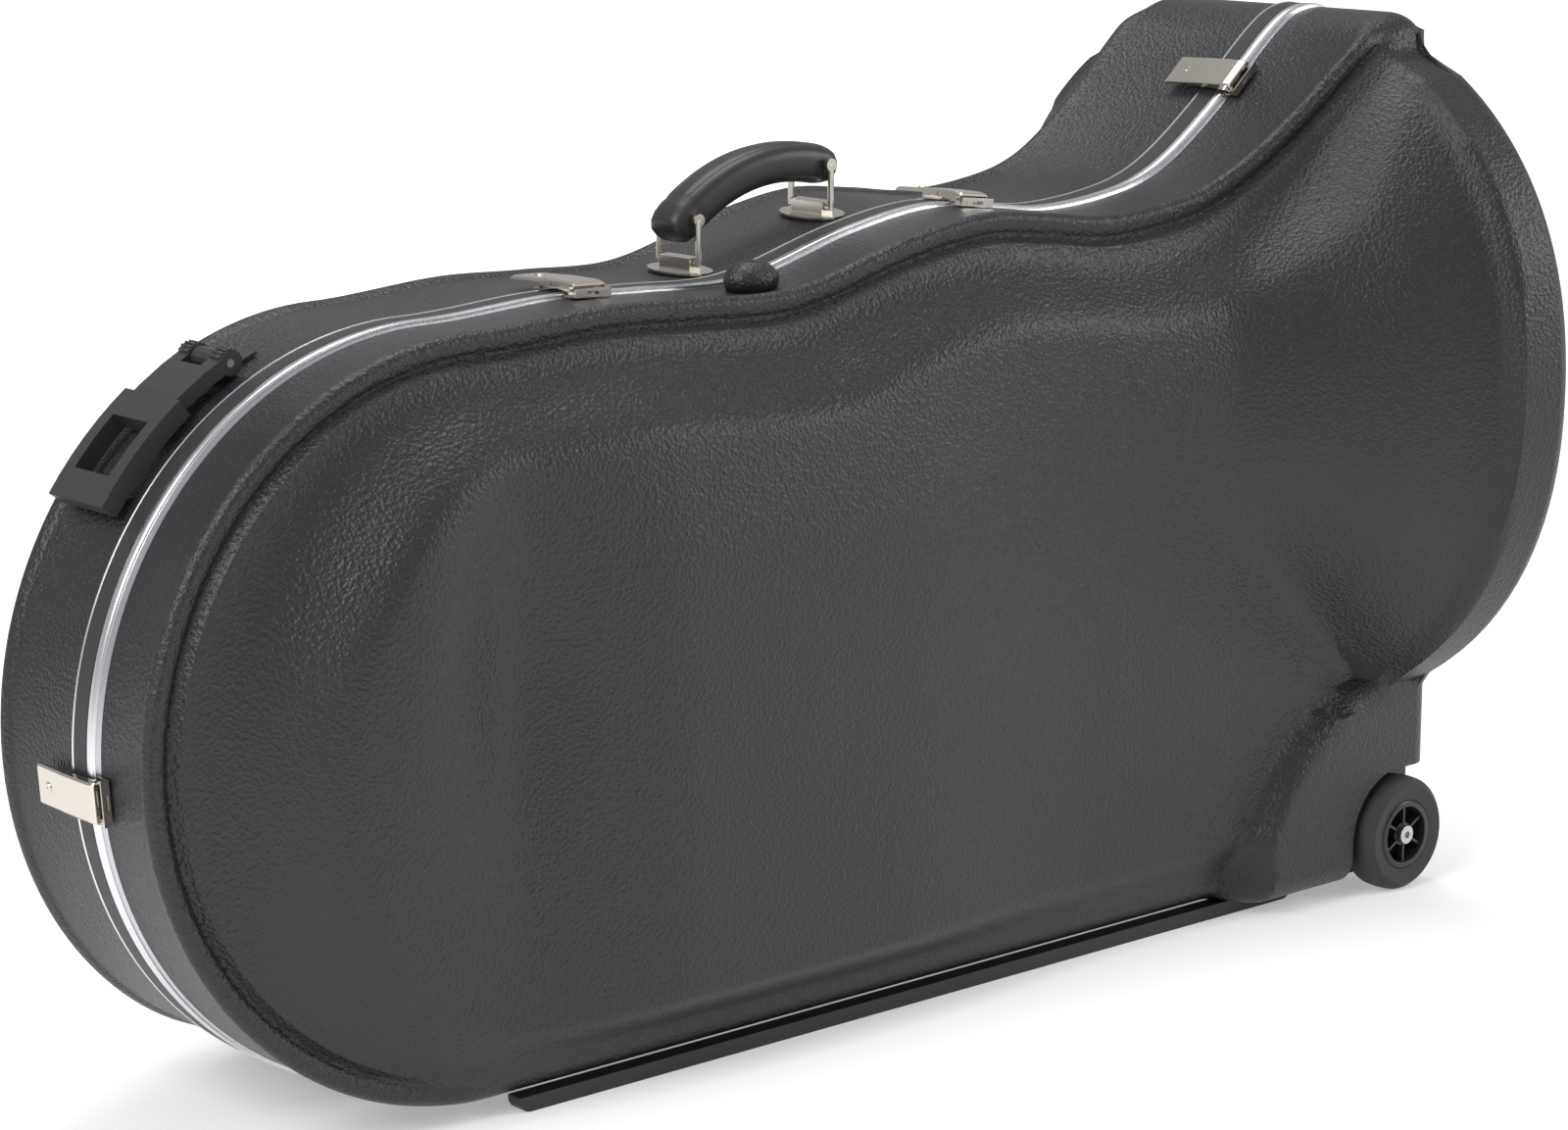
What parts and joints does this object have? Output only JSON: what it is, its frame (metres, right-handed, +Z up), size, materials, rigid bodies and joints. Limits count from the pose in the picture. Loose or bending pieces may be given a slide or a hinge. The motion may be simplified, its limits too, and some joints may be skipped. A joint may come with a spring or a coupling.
{
  "type": "tuba case",
  "caption": "Wheeled hard case for a tuba: two moulded shells with a bell flare, draw latches, carry and towing handles, skid rails and wheels.",
  "frame": {"origin": "on the ground under the middle of the case's box", "axes": "+X towards the bell end, +Y towards the base shell, +Z up"},
  "size_m": [1.0218, 0.506, 0.6052],
  "materials": {
    "shell": "leather-grained moulded plastic",
    "aluminium_trim": "satin extrusion",
    "inlay": "plain",
    "seal_rubber": "matt",
    "plush": "short plush",
    "foam": "plush-covered foam",
    "runner_plastic": "plain",
    "grip_plastic": "soft-touch",
    "tow_plastic": "fine texture",
    "tyre_rubber": "matt",
    "hub_plastic": "semi-gloss",
    "axle_steel": "turned",
    "nickel": "nickel plate"
  },
  "bodies": {
    "base": {"rear_shell": "shell", "rear_valance": "aluminium_trim", "valance_inlay": "inlay", "seal": "seal_rubber", "rear_lining": "plush", "bow_cradle": "foam", "bell_cradle": "foam", "rear_runner": "runner_plastic", "handle_plate_left": "nickel", "handle_plate_right": "nickel", "tow_bracket": "tow_plastic", "tow_pin": "axle_steel", "rear_axle": "axle_steel", "hinge_1_rear_leaf": "nickel", "hinge_2_rear_leaf": "nickel", "hinge_3_rear_leaf": "nickel", "hinge_1_pin": "axle_steel", "hinge_2_pin": "axle_steel", "hinge_3_pin": "axle_steel", "latch_1_strike": "nickel", "latch_2_strike": "nickel", "latch_3_strike": "nickel", "latch_4_strike": "nickel"},
    "lid": {"front_shell": "shell", "front_valance": "aluminium_trim", "front_lining": "plush", "front_runner": "runner_plastic", "front_axle": "axle_steel", "hinge_1_front_leaf": "nickel", "hinge_2_front_leaf": "nickel", "hinge_3_front_leaf": "nickel", "latch_1_base": "nickel", "latch_2_base": "nickel", "latch_3_base": "nickel", "latch_4_base": "nickel"},
    "front_wheel": {"front_tyre": "tyre_rubber", "front_hub": "hub_plastic"},
    "rear_wheel": {"rear_tyre": "tyre_rubber", "rear_hub": "hub_plastic"},
    "stirrup_left": {"handle_stirrup_left": "nickel"},
    "stirrup_right": {"handle_stirrup_right": "nickel"},
    "carry_grip": {"handle_grip": "grip_plastic"},
    "tow_handle": {"tow_arm": "tow_plastic"},
    "lever_1": {"latch_1_lever": "nickel"},
    "claw_1": {"latch_1_claw": "nickel"},
    "lever_2": {"latch_2_lever": "nickel"},
    "claw_2": {"latch_2_claw": "nickel"},
    "lever_3": {"latch_3_lever": "nickel"},
    "claw_3": {"latch_3_claw": "nickel"},
    "lever_4": {"latch_4_lever": "nickel"},
    "claw_4": {"latch_4_claw": "nickel"}
  },
  "joints": [
    {"name": "lid_hinge", "type": "hinge", "parent": "base", "child": "lid", "pos_m": [0, -0.03, 0.0045], "axis": [1, 0, 0], "range_deg": [0, 120]},
    {"name": "front_wheel_spin", "type": "hinge", "parent": "lid", "child": "front_wheel", "pos_m": [0.4708, -0.1465, 0.04], "axis": [0, 1, 0], "continuous": true},
    {"name": "rear_wheel_spin", "type": "hinge", "parent": "base", "child": "rear_wheel", "pos_m": [0.4708, 0.1465, 0.04], "axis": [0, 1, 0], "continuous": true},
    {"name": "stirrup_left_swing", "type": "hinge", "parent": "base", "child": "stirrup_left", "pos_m": [-0.03966, 0.024, 0.4674], "axis": [0, 1, 0], "range_deg": [-50, 50]},
    {"name": "stirrup_right_swing", "type": "hinge", "parent": "base", "child": "stirrup_right", "pos_m": [0.06926, 0.024, 0.49375], "axis": [0, 1, 0], "range_deg": [-50, 50]},
    {"name": "grip_swing", "type": "hinge", "parent": "stirrup_left", "child": "carry_grip", "pos_m": [-0.03966, 0.024, 0.49439], "axis": [0, 1, 0], "range_deg": [-50, 50]},
    {"name": "tow_handle_fold", "type": "hinge", "parent": "base", "child": "tow_handle", "pos_m": [-0.38321, 0.026, 0.44205], "axis": [0, 1, 0], "range_deg": [0, 100]},
    {"name": "latch_1_lever_hinge", "type": "hinge", "parent": "lid", "child": "lever_1", "pos_m": [-0.50582, -0.0375, 0.21763], "axis": [-0.0714, 0, 0.9974], "range_deg": [0, 78]},
    {"name": "latch_1_claw_hinge", "type": "hinge", "parent": "lever_1", "child": "claw_1", "pos_m": [-0.50721, -0.02, 0.21753], "axis": [-0.0714, 0, 0.9974], "range_deg": [-55, 0]},
    {"name": "latch_2_lever_hinge", "type": "hinge", "parent": "lid", "child": "lever_2", "pos_m": [-0.16206, -0.0375, 0.4686], "axis": [0.9996, 0, -0.0275], "range_deg": [0, 78]},
    {"name": "latch_2_claw_hinge", "type": "hinge", "parent": "lever_2", "child": "claw_2", "pos_m": [-0.16202, -0.02, 0.47], "axis": [0.9996, 0, -0.0275], "range_deg": [-55, 0]},
    {"name": "latch_3_lever_hinge", "type": "hinge", "parent": "lid", "child": "lever_3", "pos_m": [0.15038, -0.0375, 0.49698], "axis": [0.9938, 0, -0.111], "range_deg": [0, 78]},
    {"name": "latch_3_claw_hinge", "type": "hinge", "parent": "lever_3", "child": "claw_3", "pos_m": [0.15053, -0.02, 0.49837], "axis": [0.9938, 0, -0.111], "range_deg": [-55, 0]},
    {"name": "latch_4_lever_hinge", "type": "hinge", "parent": "lid", "child": "lever_4", "pos_m": [0.39772, -0.0375, 0.56028], "axis": [0.7428, 0, 0.6695], "range_deg": [0, 78]},
    {"name": "latch_4_claw_hinge", "type": "hinge", "parent": "lever_4", "child": "claw_4", "pos_m": [0.39678, -0.02, 0.56132], "axis": [0.7428, 0, 0.6695], "range_deg": [-55, 0]}
  ],
  "couplings": [
    {"joint": "stirrup_right_swing", "follows": "stirrup_left_swing", "ratio": 1},
    {"joint": "grip_swing", "follows": "stirrup_left_swing", "ratio": -1},
    {"joint": "latch_1_claw_hinge", "follows": "latch_1_lever_hinge", "ratio": -0.6},
    {"joint": "latch_2_claw_hinge", "follows": "latch_2_lever_hinge", "ratio": -0.6},
    {"joint": "latch_3_claw_hinge", "follows": "latch_3_lever_hinge", "ratio": -0.6},
    {"joint": "latch_4_claw_hinge", "follows": "latch_4_lever_hinge", "ratio": -0.6}
  ]
}
